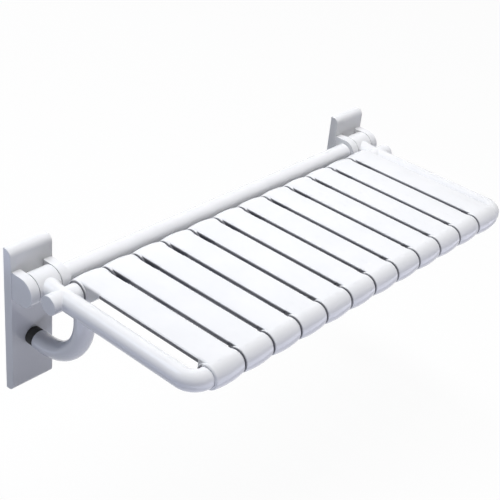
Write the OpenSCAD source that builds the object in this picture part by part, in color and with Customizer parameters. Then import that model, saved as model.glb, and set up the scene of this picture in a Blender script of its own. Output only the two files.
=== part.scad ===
// Fold down wall seat.
// Twelve moulded slats ride on a U of round tube that swings up against the wall on two
// hinge brackets. Two J shaped legs carry the load through rubber buffers to the brackets.
// X runs along the wall, -Y points away from it, +Z is up. The wall is the plane y = 0, and
// the origin lies on it, midway between the brackets at half their height.

/* [Layout] */
// Distance between the centre lines of the two side arms
arm_spacing = 792; // [780:1:1200]
// Distance from the wall to the pivot axis
pivot_reach = 40; // [40:0.5:46]
// Distance from the wall to the centre line of the rear cross tube
rear_reach = 93; // [92:0.5:100]
// Distance from the wall to the centre line of the front tube
front_reach = 370; // [330:1:450]
// Height of the pivot axis above the middle of the wall brackets
pivot_rise = 71; // [66:0.5:76]

/* [Tubes] */
// Outer diameter of the seat, leg and back tubes
tube_d = 33; // [31:0.5:34]
// Wall thickness of the tubes
tube_wall = 3; // [2:0.25:4]
// Centre line radius of the two front corners
corner_r = 23.5; // [20:0.5:23.5]
// Length of the cross tube beyond each arm's centre line, cap included
cross_overhang = 30; // [24:0.5:60]
// Thickness of the flat end caps
cap_t = 2.5; // [1.5:0.25:4]
// Length of the plugs that hold the end caps
cap_plug_l = 14; // [8:0.5:20]
// Edge rounding of the end caps
cap_edge_r = 0.8; // [0.4:0.1:1.5]

/* [Legs] */
// Distance from the wall to the upright of each leg
leg_reach = 141.5; // [136:0.5:200]
// Depth of the leg's foot below the seat tubes
leg_drop = 108; // [104:1:150]
// Centre line radius of the bend in each leg
leg_bend_r = 90; // [60:1:90]
// Diameter of the rubber buffer
buffer_d = 31; // [28:0.5:33]
// Thickness of the rubber between the leg and the bracket
buffer_t = 17.8; // [12:0.1:20]
// Edge rounding of the rubber buffer
buffer_edge_r = 1.6; // [0.8:0.1:3]
// Length of the buffer's stem inside the leg
buffer_stem_l = 16; // [10:0.5:25]

/* [Wall brackets] */
// Width of a wall bracket
bracket_w = 80; // [78:0.5:90]
// Height of a wall bracket
bracket_h = 266; // [250:1:300]
// Depth of the bracket cover, also the radius of its top and bottom front edges
bracket_t = 17; // [16:0.25:17.5]
// Wall thickness of the bracket cover
cover_wall = 3; // [2:0.25:3.5]
// Thickness of the steel base plate
base_t = 6; // [4:0.5:7]
// Diameter of the wall screw holes
bolt_d = 9; // [6:0.5:11]
// Sideways distance between the wall screws of one bracket
bolt_span_x = 46; // [40:1:50]
// Upright distance between the wall screws of one bracket
bolt_span_z = 232; // [226:1:234]
// Radius of the round lugs and of the hinge barrel between them
lug_r = 25; // [24:0.5:26]
// Thickness of each lug
lug_t = 16.5; // [15:0.25:16.5]
// Clear distance between the two lugs of a bracket
lug_gap = 44; // [40:0.5:44]
// Thickness of the steel cheek inside each lug
cheek_t = 9.5; // [8:0.25:10]
// Radius of the steel cheek's round end
cheek_r = 19.5; // [16:0.25:20]
// Height of the tab that carries each cheek through the base plate
tab_h = 30; // [20:1:34]
// Radius of the beads that snap the cover onto the base plate
bead_r = 1.2; // [0.8:0.1:1.5]
// Length of the snap beads
bead_l = 24; // [12:1:40]

/* [Hinge] */
// Diameter of the hinge pins
pin_d = 14; // [10:0.5:14]
// Outer diameter of the hinge bushes
bush_d = 20; // [18:0.5:24]
// Length of each hinge bush inside the barrel
bush_l = 12; // [8:0.5:16]
// Diameter of the bush flanges
bush_flange_d = 30; // [24:0.5:36]
// Thickness of the bush flanges
bush_flange_t = 0.7; // [0.4:0.05:0.8]
// Length of the plugs in the ends of the back tube
plug_l = 30; // [20:1:50]
// Depth to which a pin enters its plug
pin_depth = 24; // [12:1:28]
// Radius of the barrel's neck where it leaves the barrel
neck_root_r = 21.4; // [18:0.1:22]
// Distance from the pivot at which the neck has come down to the tube
neck_reach = 34; // [30:0.5:36]

/* [Slats] */
// Number of slats
slat_count = 12; // [8:1:12]
// Distance between the centre lines of neighbouring slats
slat_pitch = 62; // [56:0.1:62.3]
// Gap between the sleeves of neighbouring slats
sleeve_gap = 2.4; // [2.4:0.1:5]
// Gap between the boards of neighbouring slats
board_gap = 6; // [4:0.1:9]
// Gap between neighbouring slats where a board runs into its sleeves
notch_gap = 8; // [6:0.1:12]
// Wall of the sleeves at their edges
sleeve_wall = 3.9; // [3.5:0.1:4]
// Height of the crown across each slat
crown_rise = 2.8; // [1:0.1:3]
// Thickness of the board and its skirts
slat_wall = 3.2; // [2.4:0.1:4]
// Radius of the rolled edges of the board
board_edge_r = 4; // [3:0.1:5]
// Radius of the sleeves' edges
sleeve_edge_r = 3.5; // [1:0.1:3.6]
// Depth of the board's skirts below the edge of the crown
skirt_h = 6.8; // [6:0.1:12]
// Length of the solid block in front of the rear cross tube's centre line
rear_block_l = 25; // [24:0.5:32]
// Length of the flat underside of the gusset that leads from this block to the board
gusset_l = 31.5; // [26:0.5:33]
// Height of the gusset's underside above the rear tube's centre line
gusset_low = -2; // [-4:0.5:4]
// Height of the front block's underside above the front tube's centre line
front_block_low = 6; // [0:0.5:12]
// Length of the narrow part of the board at the rear
rear_notch_l = 49; // [36:0.5:60]
// Length of the narrow part of the board at the front
front_notch_l = 20; // [18:0.5:30]
// Thickness of the ribs under the boards
rib_t = 2.4; // [1.6:0.1:3]
// Number of rows of pockets between the cross ribs
pocket_rows = 4; // [2:1:6]
// Shank diameter of the slat screws
screw_d = 4; // [3:0.25:5]
// Head diameter of the slat screws
screw_head_d = 7.6; // [6:0.2:9]
// Length of the slat screws
screw_l = 12; // [8:0.5:14]

/* [Fits] */
// Radial clearance of the slat sleeves on the tubes
sleeve_fit = 0.15; // [0.05:0.01:0.3]
// Radial clearance of the bushes on the hinge pins
pin_fit = 0.08; // [0.02:0.01:0.1]
// Clearance of pieces that are pushed or welded together
seat_fit = 0.1; // [0.02:0.01:0.2]
// Clearance between the cover and the steel inside it
cover_fit = 0.2; // [0.1:0.05:0.4]
// Gap between the barrel and each lug
barrel_gap = 1; // [0.8:0.05:1.5]
// Gap between the barrel and the hollow in the cover behind it
hollow_gap = 1.2; // [0.8:0.1:2]
// Clearance left at each buffer when the seat is down
rest_gap = 0.2; // [0.1:0.05:0.3]

/* [Hidden] */
// Overrun of every cut beyond the face that it opens
over = 1;
// Sides of the circles
$fn = 96;
// Sides of the wide circle that crowns the slats
crown_fn = 720;

arm_x = arm_spacing / 2;
tube_r = tube_d / 2;
bore_r = tube_r - tube_wall;
cross_half = arm_x + cross_overhang - cap_t;
leg_end = bracket_t + rest_gap + buffer_t;

cover_half_h = bracket_h / 2;
base_w = bracket_w - 2 * cover_wall - 2 * cover_fit;
// The base plate stops where the inside of the cover's rounded edge comes down to it
inner_round_r = bracket_t - cover_wall;
base_half_h = cover_half_h - bracket_t + sqrt(pow(inner_round_r, 2) - pow(base_t, 2)) - cover_fit;
lug_in = lug_gap / 2;
lug_mid = lug_in + lug_t / 2;
lug_out = lug_in + lug_t;
bead_z = bolt_span_z / 4;

barrel_l = lug_gap - 2 * barrel_gap;
back_half = arm_x - lug_out - seat_fit;
pin_in = arm_x - lug_mid - cheek_t / 2;
pin_r = pin_d / 2;
hollow_r = lug_r + hollow_gap;
hollow_deep = pivot_reach - hollow_r;

sleeve_w = slat_pitch - sleeve_gap;
board_w = slat_pitch - board_gap;
notch_w = slat_pitch - notch_gap;
sleeve_r = tube_r + sleeve_wall;
crown_top = sleeve_r + crown_rise;
crown_r = (pow(sleeve_w / 2, 2) + pow(crown_rise, 2)) / (2 * crown_rise);
crown_centre = crown_top - crown_r;
skirt_low = sleeve_r - skirt_h;
slat_l = front_reach - rear_reach;
gusset_end = gusset_l + skirt_low - gusset_low;
pocket_start = rear_block_l;
pocket_end = slat_l - sleeve_r - slat_wall;
pocket_step = (pocket_end - pocket_start + rib_t) / pocket_rows;
pocket_w = notch_w / 2 - slat_wall - rib_t / 2;
screw_head_h = (screw_head_d - screw_d) / 2;

// Puts a piece drawn for the right bracket, with x = 0 at its middle, on one side
module at_side(side) {
    mirror([side < 0 ? 1 : 0, 0, 0]) translate([arm_x, 0, 0]) children();
}

// A cylinder along X from x0 to x1, at a distance from the wall and a height
module rod_x(r, x0, x1, reach, rise) {
    translate([x0, -reach, rise]) rotate([0, 90, 0]) cylinder(r = r, h = x1 - x0);
}

// A cylinder along Y from near to far, both measured from the wall
module rod_y(r, near, far, x, rise) {
    translate([x, -near, rise]) rotate([90, 0, 0]) cylinder(r = r, h = far - near);
}

// Outline of a lug or cheek in the YZ plane: straight from the base to a round end
module lug_outline(r, base) {
    translate([-pivot_reach, pivot_rise]) circle(r = r);
    translate([-pivot_reach, pivot_rise - r]) square([pivot_reach - base, 2 * r]);
}

// Stands an outline drawn in (y, z) upright and gives it a thickness centred on x
module slab_x(x, t) {
    translate([x - t / 2, 0, 0]) rotate([90, 0, 90]) linear_extrude(height = t) children();
}

// Outline of the cover in (y, z), with quarter round front edges at top and bottom
module cover_outline(deep, half_h, r) {
    translate([-deep, r - half_h]) square([deep, 2 * (half_h - r)]);
    for (s = [-1, 1])
        intersection() {
            translate([r - deep, s * (half_h - r)]) circle(r = r);
            translate([-deep, s > 0 ? half_h - r : -half_h]) square([deep, r]);
        }
}

// The tabs that carry both cheeks through the base plate
module cheek_tab(grow) {
    for (x = [-lug_mid, lug_mid])
        translate([x - cheek_t / 2 - grow, -base_t - over, pivot_rise - tab_h / 2 - grow])
            cube([cheek_t + 2 * grow, base_t + 2 * over, tab_h + 2 * grow]);
}

module base_plate(side) {
    color("silver")
    at_side(side)
    difference() {
        translate([-base_w / 2, -base_t, -base_half_h]) cube([base_w, base_t, 2 * base_half_h]);
        for (x = [-1, 1], z = [-1, 1])
            rod_y(bolt_d / 2, -over, base_t + over, x * bolt_span_x / 2, z * bolt_span_z / 2);
        cheek_tab(seat_fit);
        // Grooves that the cover's beads snap into
        for (x = [-1, 1], z = [-1, 1])
            translate([x * (base_w / 2 + cover_fit), -base_t / 2, z * bead_z - bead_l / 2 - cover_fit])
                cylinder(r = bead_r + cover_fit, h = bead_l + 2 * cover_fit);
    }
}

module hinge_cheeks(side) {
    color("silver")
    at_side(side)
    difference() {
        union() {
            for (x = [-lug_mid, lug_mid]) slab_x(x, cheek_t) lug_outline(cheek_r, base_t);
            intersection() {
                cheek_tab(0);
                translate([-bracket_w / 2, -base_t, 0])
                    cube([bracket_w, base_t - seat_fit, cover_half_h]);
            }
        }
        rod_x(pin_r + seat_fit, -lug_out, lug_out, pivot_reach, pivot_rise);
    }
}

module wall_cover(side) {
    color("white")
    at_side(side)
    difference() {
        union() {
            difference() {
                slab_x(0, bracket_w) cover_outline(bracket_t, cover_half_h, bracket_t);
                difference() {
                    slab_x(0, bracket_w - 2 * cover_wall)
                        cover_outline(bracket_t - cover_wall, cover_half_h - cover_wall, inner_round_r);
                    // Floor of the hollow behind the barrel
                    translate([-lug_in, cover_wall - hollow_deep, pivot_rise - lug_r])
                        mirror([0, 1, 0]) cube([lug_gap, bracket_t, 2 * lug_r]);
                }
                translate([-bracket_w / 2 + cover_wall, -over, -cover_half_h + cover_wall])
                    cube([bracket_w - 2 * cover_wall, 2 * over, bracket_h - 2 * cover_wall]);
            }
            for (x = [-lug_mid, lug_mid]) slab_x(x, lug_t) lug_outline(lug_r, bracket_t - cover_wall);
            for (x = [-1, 1], z = [-1, 1])
                translate([x * (base_w / 2 + cover_fit), -base_t / 2, z * bead_z - bead_l / 2])
                    cylinder(r = bead_r, h = bead_l);
        }
        // Pockets for the steel cheeks
        for (x = [-lug_mid, lug_mid])
            slab_x(x, cheek_t + 2 * cover_fit) lug_outline(cheek_r + cover_fit, 0);
        // The pin passes every wall but the outermost
        rod_x(pin_r + cover_fit, -lug_out - over, lug_mid, pivot_reach, pivot_rise);
        // Hollow that the barrel turns in
        intersection() {
            rod_x(hollow_r, -lug_in, lug_in, pivot_reach, pivot_rise);
            translate([-lug_in, -pivot_reach, pivot_rise - hollow_r])
                cube([lug_gap, pivot_reach, 2 * hollow_r]);
        }
    }
}

module hinge_pin(side) {
    color("gainsboro")
    at_side(side)
    rod_x(pin_r, -lug_out - seat_fit - pin_depth, lug_mid + cheek_t / 2, pivot_reach, pivot_rise);
}

module back_tube() {
    color("white")
    difference() {
        rod_x(tube_r, -back_half, back_half, pivot_reach, pivot_rise);
        rod_x(bore_r, -back_half - over, back_half + over, pivot_reach, pivot_rise);
    }
}

module back_tube_plugs() {
    color("dimgray")
    for (side = [-1, 1])
        at_side(side)
        difference() {
            rod_x(bore_r - seat_fit, -lug_out - seat_fit - plug_l, -lug_out - seat_fit,
                  pivot_reach, pivot_rise);
            rod_x(pin_r + seat_fit, -lug_out - 2 * seat_fit - pin_depth, -lug_out,
                  pivot_reach, pivot_rise);
        }
}

module hinge_barrel(side) {
    color("white")
    at_side(side)
    difference() {
        union() {
            rod_x(lug_r, -barrel_l / 2, barrel_l / 2, pivot_reach, pivot_rise);
            // The neck tapers from the barrel to the tube that it meets
            intersection() {
                translate([0, -pivot_reach, pivot_rise]) rotate([90, 0, 0])
                    cylinder(r1 = neck_root_r, r2 = tube_r, h = neck_reach);
                translate([-barrel_l / 2, -pivot_reach - neck_reach, pivot_rise - lug_r])
                    cube([barrel_l, neck_reach, 2 * lug_r]);
            }
            rod_y(tube_r, pivot_reach, rear_reach, 0, pivot_rise);
        }
        rod_x(bush_d / 2, -barrel_l / 2 - over, barrel_l / 2 + over, pivot_reach, pivot_rise);
        rod_x(tube_r + seat_fit, -barrel_l, barrel_l, rear_reach, pivot_rise);
    }
}

module hinge_bushes(side) {
    color("dimgray")
    at_side(side)
    for (s = [-1, 1])
        mirror([s < 0 ? 1 : 0, 0, 0])
        difference() {
            union() {
                rod_x(bush_d / 2 - seat_fit, barrel_l / 2 - bush_l, barrel_l / 2, pivot_reach, pivot_rise);
                rod_x(bush_flange_d / 2, barrel_l / 2, barrel_l / 2 + bush_flange_t,
                      pivot_reach, pivot_rise);
            }
            rod_x(pin_r + pin_fit, 0, lug_gap, pivot_reach, pivot_rise);
        }
}

// The screw holes of one tube, all from below
module tube_screw_holes(reach) {
    for (i = [0 : slat_count - 1])
        translate([slat_x(i), -reach, pivot_rise - tube_r - over])
            cylinder(r = screw_d / 2 + seat_fit, h = tube_r + over);
}

module rear_cross_tube() {
    color("white")
    difference() {
        rod_x(tube_r, -cross_half, cross_half, rear_reach, pivot_rise);
        rod_x(bore_r, -cross_half - over, cross_half + over, rear_reach, pivot_rise);
        tube_screw_holes(rear_reach);
    }
}

// The bent tube from one arm round the front to the other
module frame_path(r) {
    for (s = [-1, 1]) {
        rod_y(r, rear_reach, front_reach - corner_r, s * arm_x, pivot_rise);
        translate([s * (arm_x - corner_r), corner_r - front_reach, pivot_rise])
            rotate([0, 0, s > 0 ? -90 : 180])
            rotate_extrude(angle = 90) translate([corner_r, 0]) circle(r = r);
    }
    rod_x(r, corner_r - arm_x, arm_x - corner_r, front_reach, pivot_rise);
}

module seat_frame_tube() {
    color("white")
    difference() {
        frame_path(tube_r);
        frame_path(bore_r);
        rod_x(tube_r + seat_fit, -arm_spacing, arm_spacing, rear_reach, pivot_rise);
        tube_screw_holes(front_reach);
    }
}

module end_cap(side) {
    color("white")
    mirror([side < 0 ? 1 : 0, 0, 0])
    translate([cross_half, -rear_reach, pivot_rise]) rotate([0, 90, 0]) {
        cylinder(r = tube_r, h = cap_t - cap_edge_r);
        rotate_extrude() {
            square([tube_r - cap_edge_r, cap_t]);
            translate([tube_r - cap_edge_r, cap_t - cap_edge_r]) circle(r = cap_edge_r);
        }
        translate([0, 0, -cap_plug_l]) cylinder(r = bore_r - seat_fit, h = cap_plug_l);
    }
}

// Upright, bend and foot of one leg
module leg_path(r, end) {
    translate([0, -leg_reach, pivot_rise - leg_drop + leg_bend_r])
        cylinder(r = r, h = leg_drop - leg_bend_r);
    translate([0, leg_bend_r - leg_reach, pivot_rise - leg_drop + leg_bend_r])
        rotate([0, -90, 0]) rotate([0, 0, 180])
        rotate_extrude(angle = 90) translate([leg_bend_r, 0]) circle(r = r);
    rod_y(r, end, leg_reach - leg_bend_r, 0, pivot_rise - leg_drop);
}

module support_leg(side) {
    color("white")
    at_side(side)
    difference() {
        leg_path(tube_r, leg_end);
        leg_path(bore_r, leg_end - over);
        rod_y(tube_r + seat_fit, rear_reach, front_reach, 0, pivot_rise);
    }
}

module rubber_buffer(side) {
    color([0.08, 0.08, 0.08])
    at_side(side)
    translate([0, -leg_end, pivot_rise - leg_drop]) rotate([-90, 0, 0]) {
        rotate_extrude() {
            square([buffer_d / 2, buffer_t - buffer_edge_r]);
            square([buffer_d / 2 - buffer_edge_r, buffer_t]);
            translate([buffer_d / 2 - buffer_edge_r, buffer_t - buffer_edge_r])
                circle(r = buffer_edge_r);
        }
        translate([0, 0, -buffer_stem_l]) cylinder(r = bore_r - seat_fit, h = buffer_stem_l);
    }
}

function slat_x(i) = (i - (slat_count - 1) / 2) * slat_pitch;

// Section across a slat: crowned top with rolled edges, straight sides down to low.
// The height is measured from the centre line of the tubes.
module crown_section(w, roll_r, low) {
    roll_x = w / 2 - roll_r;
    roll_z = crown_centre + sqrt(pow(crown_r - roll_r, 2) - pow(roll_x, 2));
    touch_x = roll_x * crown_r / (crown_r - roll_r);
    intersection() {
        translate([0, crown_centre]) circle(r = crown_r, $fn = crown_fn);
        translate([-touch_x, low]) square([2 * touch_x, crown_top - low + over]);
    }
    for (s = [-1, 1]) translate([s * roll_x, roll_z]) circle(r = roll_r);
    translate([-w / 2, low]) square([w, roll_z - low]);
}

// Extrudes a section forward along the slat, from start to end behind the front tube
module along_slat(start, end) {
    translate([0, -start, 0]) rotate([90, 0, 0]) linear_extrude(height = end - start) children();
}

// Crowned sleeve round a tube
module sleeve(at) {
    translate([0, -at, 0]) rotate([0, 90, 0])
        rotate_extrude() rotate(-90) crown_section(sleeve_w, sleeve_edge_r, tube_r);
}

// Outline of the gusset in (y, z): flat below, then up at 45 degrees to the skirts
module gusset_outline() {
    polygon([
        [0, gusset_low], [-gusset_l, gusset_low], [-gusset_end, skirt_low],
        [-gusset_end, skirt_low + slat_wall / 2], [0, skirt_low + slat_wall / 2]
    ]);
}

module slat_pockets() {
    for (row = [0 : pocket_rows - 1], s = [-1, 1])
        along_slat(pocket_start + row * pocket_step, pocket_start + (row + 1) * pocket_step - rib_t)
        intersection() {
            translate([0, crown_centre]) circle(r = crown_r - slat_wall, $fn = crown_fn);
            translate([s > 0 ? rib_t / 2 : -rib_t / 2 - pocket_w, gusset_low - over])
                square([pocket_w, 2 * crown_top]);
        }
}

module screw_seat(at) {
    translate([0, -at, -crown_top]) {
        translate([0, 0, -over]) cylinder(r = screw_d / 2 + seat_fit, h = crown_top);
        cylinder(r1 = screw_head_d / 2 + seat_fit, r2 = screw_d / 2 + seat_fit, h = screw_head_h);
        translate([0, 0, -over]) cylinder(r = screw_head_d / 2 + seat_fit, h = over);
    }
}

// One slat, drawn with the rear tube's centre line at the origin
module slat() {
    difference() {
        union() {
            difference() {
                union() {
                    along_slat(0, rear_notch_l) crown_section(notch_w, board_edge_r, skirt_low);
                    along_slat(rear_notch_l, slat_l - front_notch_l)
                        crown_section(board_w, board_edge_r, skirt_low);
                    along_slat(slat_l - front_notch_l, slat_l)
                        crown_section(notch_w, board_edge_r, skirt_low);
                    along_slat(slat_l - sleeve_r, slat_l)
                        crown_section(notch_w, board_edge_r, front_block_low);
                    slab_x(0, notch_w) gusset_outline();
                }
                slat_pockets();
            }
            sleeve(0);
            sleeve(slat_l);
        }
        for (at = [0, slat_l]) {
            translate([-sleeve_w, -at, 0]) rotate([0, 90, 0])
                cylinder(r = tube_r + sleeve_fit, h = 2 * sleeve_w);
            screw_seat(at);
        }
    }
}

module placed_slat(i) {
    color("white") translate([slat_x(i), -rear_reach, pivot_rise]) slat();
}

module slat_screws() {
    color("gainsboro")
    for (i = [0 : slat_count - 1], at = [rear_reach, front_reach])
        translate([slat_x(i), -at, pivot_rise - crown_top]) {
            cylinder(r1 = screw_head_d / 2, r2 = screw_d / 2, h = screw_head_h);
            cylinder(r = screw_d / 2, h = screw_l);
        }
}

base_plate(-1);  // left_base_plate
base_plate(1);  // right_base_plate
hinge_cheeks(-1);  // left_hinge_cheeks
hinge_cheeks(1);  // right_hinge_cheeks
wall_cover(-1);  // left_wall_cover
wall_cover(1);  // right_wall_cover
hinge_pin(-1);  // left_hinge_pin
hinge_pin(1);  // right_hinge_pin
back_tube();
back_tube_plugs();
hinge_barrel(-1);  // left_hinge_barrel
hinge_barrel(1);  // right_hinge_barrel
hinge_bushes(-1);  // left_hinge_bushes
hinge_bushes(1);  // right_hinge_bushes
rear_cross_tube();
seat_frame_tube();
end_cap(-1);  // left_end_cap
end_cap(1);  // right_end_cap
support_leg(-1);  // left_support_leg
support_leg(1);  // right_support_leg
rubber_buffer(-1);  // left_rubber_buffer
rubber_buffer(1);  // right_rubber_buffer
placed_slat(0);  // slat_01
placed_slat(1);  // slat_02
placed_slat(2);  // slat_03
placed_slat(3);  // slat_04
placed_slat(4);  // slat_05
placed_slat(5);  // slat_06
placed_slat(6);  // slat_07
placed_slat(7);  // slat_08
placed_slat(8);  // slat_09
placed_slat(9);  // slat_10
placed_slat(10);  // slat_11
placed_slat(11);  // slat_12
slat_screws();
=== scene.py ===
"""Fold down wall seat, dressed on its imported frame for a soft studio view.

Lengths are in metres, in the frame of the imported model. X runs along the wall, -Y points away
from it and +Z is up. The wall is the plane y = 0. Every visible piece is modelled round the
place that its node has in the frame, and rides on the same body.
"""
import logging
import math
from dataclasses import dataclass
from enum import Enum
from typing import Callable, Sequence, Union

import bpy
import numpy as np
from mathutils import Matrix, Vector


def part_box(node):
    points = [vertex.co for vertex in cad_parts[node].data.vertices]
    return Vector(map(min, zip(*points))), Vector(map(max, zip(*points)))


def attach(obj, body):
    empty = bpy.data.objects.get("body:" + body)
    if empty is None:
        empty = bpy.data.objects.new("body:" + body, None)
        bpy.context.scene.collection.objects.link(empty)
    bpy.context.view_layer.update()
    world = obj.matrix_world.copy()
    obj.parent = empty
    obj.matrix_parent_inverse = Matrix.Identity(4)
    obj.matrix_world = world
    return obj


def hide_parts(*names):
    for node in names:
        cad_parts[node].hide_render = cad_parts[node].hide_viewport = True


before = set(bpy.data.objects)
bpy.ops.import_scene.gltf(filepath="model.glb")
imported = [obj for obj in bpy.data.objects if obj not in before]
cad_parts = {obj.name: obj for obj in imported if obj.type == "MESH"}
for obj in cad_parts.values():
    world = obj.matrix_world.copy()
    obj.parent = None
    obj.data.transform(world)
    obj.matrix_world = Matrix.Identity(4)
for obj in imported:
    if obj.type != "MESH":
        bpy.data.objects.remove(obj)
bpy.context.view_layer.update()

LOG = logging.getLogger("wall_seat")
MM = 0.001

Point = tuple[float, float]
Place = tuple[float, float, float]
Colour = tuple[float, float, float]
Value = Union[float, "Signal"]
Outline = Callable[[float], list[Point]]

WHITE: Colour = (1.0, 1.0, 1.0)
EASED = {"interpolation_type": "SMOOTHSTEP"}
SCALED = {"operation": "MULTIPLY"}
COLOURS = {"data_type": "RGBA"}
RIM_STEPS, EDGE_STEPS, ROLL_STEPS, CROWN_STEPS = 4, 8, 16, 18
CORNER_STEPS, LEG_STEPS, NOSE_STEPS, PIN_STEPS = 24, 40, 40, 48
TUBE_STEPS, LATHE_STEPS, HOLLOW_STEPS = 72, 96, 160
SHARP_FROM = math.radians(32.0)


class Body(Enum):
    """The two rigid bodies of the seat."""

    WALL = "wall_brackets"
    SEAT = "seat"


class Side(Enum):
    """The two ends of the seat, as seen from the front."""

    LEFT = -1
    RIGHT = 1

    @property
    def word(self) -> str:
        """The name that nodes of this side start with."""
        return self.name.lower()


class Slot(Enum):
    """Material slots of the record."""

    TUBE = "white_tube"
    CASTING = "white_casting"
    PLASTIC = "white_plastic"
    STEEL = "bracket_steel"
    STAINLESS = "stainless"
    BUSH = "bush_plastic"
    RUBBER = "black_rubber"


@dataclass(frozen=True)
class Layout:
    """Main places and sizes of the seat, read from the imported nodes.

    Attributes:
        pivot_y: Distance of the pivot axis along Y.
        pivot_z: Height of the pivot axis and of every seat tube.
        tube_r: Radius of the coated tubes.
        arm_x: Distance of the side arms from the middle.
        rear_y: Place of the rear cross tube along Y.
        front_y: Place of the front tube along Y.
        cross_half: Half the length of the rear cross tube.
        foot_z: Height of the legs' feet.
        upright_y: Place of the legs' uprights along Y.
    """

    pivot_y: float
    pivot_z: float
    tube_r: float
    arm_x: float
    rear_y: float
    front_y: float
    cross_half: float
    foot_z: float
    upright_y: float

    @classmethod
    def from_frame(cls) -> "Layout":
        """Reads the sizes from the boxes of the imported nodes.

        Returns:
            The layout of the seat at rest.
        """
        back_low, back_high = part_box("back_tube")
        cross_low, cross_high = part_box("rear_cross_tube")
        frame_low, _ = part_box("seat_frame_tube")
        leg_low, leg_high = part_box("right_support_leg")
        tube_r = (back_high.z - back_low.z) / 2
        return cls(
            pivot_y=(back_low.y + back_high.y) / 2,
            pivot_z=(back_low.z + back_high.z) / 2,
            tube_r=tube_r,
            arm_x=(leg_low.x + leg_high.x) / 2,
            rear_y=(cross_low.y + cross_high.y) / 2,
            front_y=frame_low.y + tube_r,
            cross_half=cross_high.x,
            foot_z=leg_low.z + tube_r,
            upright_y=leg_low.y + tube_r,
        )

    def at(self, x: float, y: float) -> Matrix:
        """A move to a point on the level of the seat's tubes."""
        return Matrix.Translation((x, y, self.pivot_z))


class Signal:
    """One shader socket that takes part in Python expressions on values."""

    def __init__(self, shader: "Shader", socket: bpy.types.NodeSocket) -> None:
        """Wraps a socket of a shader's node tree."""
        self.shader = shader
        self.socket = socket

    def _join(self, operation: str, first: Value, second: Value) -> "Signal":
        """Adds a Math node that joins two values."""
        node = self.shader.node("ShaderNodeMath", {"operation": operation}, {0: first, 1: second})
        return self.shader.signal(node, "Value")

    def __add__(self, other: Value) -> "Signal":
        """The sum of two values."""
        return self._join("ADD", self, other)

    def __sub__(self, other: Value) -> "Signal":
        """The difference of two values."""
        return self._join("SUBTRACT", self, other)

    def __rsub__(self, other: Value) -> "Signal":
        """The difference with a number on the left."""
        return self._join("SUBTRACT", other, self)

    def __mul__(self, other: Value) -> "Signal":
        """The product of two values."""
        return self._join("MULTIPLY", self, other)

    __radd__ = __add__
    __rmul__ = __mul__

    def __abs__(self) -> "Signal":
        """The value without its sign."""
        return self._join("ABSOLUTE", self, 0.0)

    def to_and_fro(self, length: float) -> "Signal":
        """A value that climbs to a length and falls back to zero, again and again."""
        return self._join("PINGPONG", self, length)

    def at_least(self, other: Value) -> "Signal":
        """The greater of two values."""
        return self._join("MAXIMUM", self, other)


class Shader:
    """A material's or world's node tree under construction."""

    def __init__(self, owner: Union[bpy.types.Material, bpy.types.World]) -> None:
        """Empties the owner's node tree and keeps it for new nodes."""
        owner.use_nodes = True
        self.tree = owner.node_tree
        self.tree.nodes.clear()

    def node(self, kind: str, settings: dict, sockets: dict) -> bpy.types.Node:
        """Adds one node.

        Args:
            kind: The node's type.
            settings: The node's own properties, which are set first.
            sockets: The values or links of its inputs, by name or number.

        Returns:
            The new node.
        """
        node = self.tree.nodes.new(kind)
        for name, value in settings.items():
            setattr(node, name, value)
        for name, value in sockets.items():
            if isinstance(value, Signal):
                self.tree.links.new(value.socket, node.inputs[name])
            else:
                node.inputs[name].default_value = value
        return node

    def signal(self, node: bpy.types.Node, output: Union[str, int]) -> Signal:
        """Wraps one output of a node."""
        return Signal(self, node.outputs[output])

    def object_point(self) -> Signal:
        """The surface point in the piece's own coordinates, in metres."""
        return self.signal(self.node("ShaderNodeTexCoord", {}, {}), "Object")

    def facing(self) -> Signal:
        """The direction that the surface faces."""
        return self.signal(self.node("ShaderNodeNewGeometry", {}, {}), "Normal")

    def along(self, point: Signal, axis: str) -> Signal:
        """The part of a point or direction along one axis."""
        return self.signal(self.node("ShaderNodeSeparateXYZ", {}, {0: point}), axis)

    def stretched(self, point: Signal, scale: Sequence[float]) -> Signal:
        """A point scaled by a factor along each axis."""
        node = self.node("ShaderNodeVectorMath", SCALED, {0: point, 1: tuple(scale)})
        return self.signal(node, "Vector")

    def noise(self, point: Signal, per_metre: float, detail: float = 2.0) -> Signal:
        """Smooth noise from 0 to 1, by its waves in a metre and its finer layers."""
        sockets = {"Vector": point, "Scale": per_metre, "Detail": detail}
        return self.signal(self.node("ShaderNodeTexNoise", {}, sockets), 0)

    def plain(self, kind: str, colour: Colour, **sockets: float) -> Signal:
        """A diffuse, glowing or background shader of one even colour."""
        return self.signal(self.node(kind, {}, {"Color": (*colour, 1.0), **sockets}), 0)

    def mixed(self, share: Value, first: Signal, second: Signal) -> Signal:
        """A mix of two shaders."""
        node = self.node("ShaderNodeMixShader", {}, {0: share, 1: first, 2: second})
        return self.signal(node, "Shader")

    def mask(self, value: Signal, low: float, high: float) -> Signal:
        """A value stretched so that low becomes 0 and high becomes 1, and kept between them."""
        sockets = {"Value": value, "From Min": low, "From Max": high}
        return self.signal(self.node("ShaderNodeMapRange", EASED, sockets), "Result")

    def blend(self, share: Signal, first: Union[Colour, Signal], second: Colour) -> Signal:
        """A colour between two others, by the share of the second."""
        start = first if isinstance(first, Signal) else (*first, 1.0)
        mix = self.node("ShaderNodeMix", COLOURS, {0: share, 6: start, 7: (*second, 1.0)})
        return self.signal(mix, 2)

    def bump(self, height: Signal, metres: float, share: float = 1.0) -> Signal:
        """A normal bumped by a height, of which 1 stands for so many metres."""
        sockets = {"Height": height, "Distance": metres, "Strength": share}
        return self.signal(self.node("ShaderNodeBump", {}, sockets), "Normal")


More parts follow.
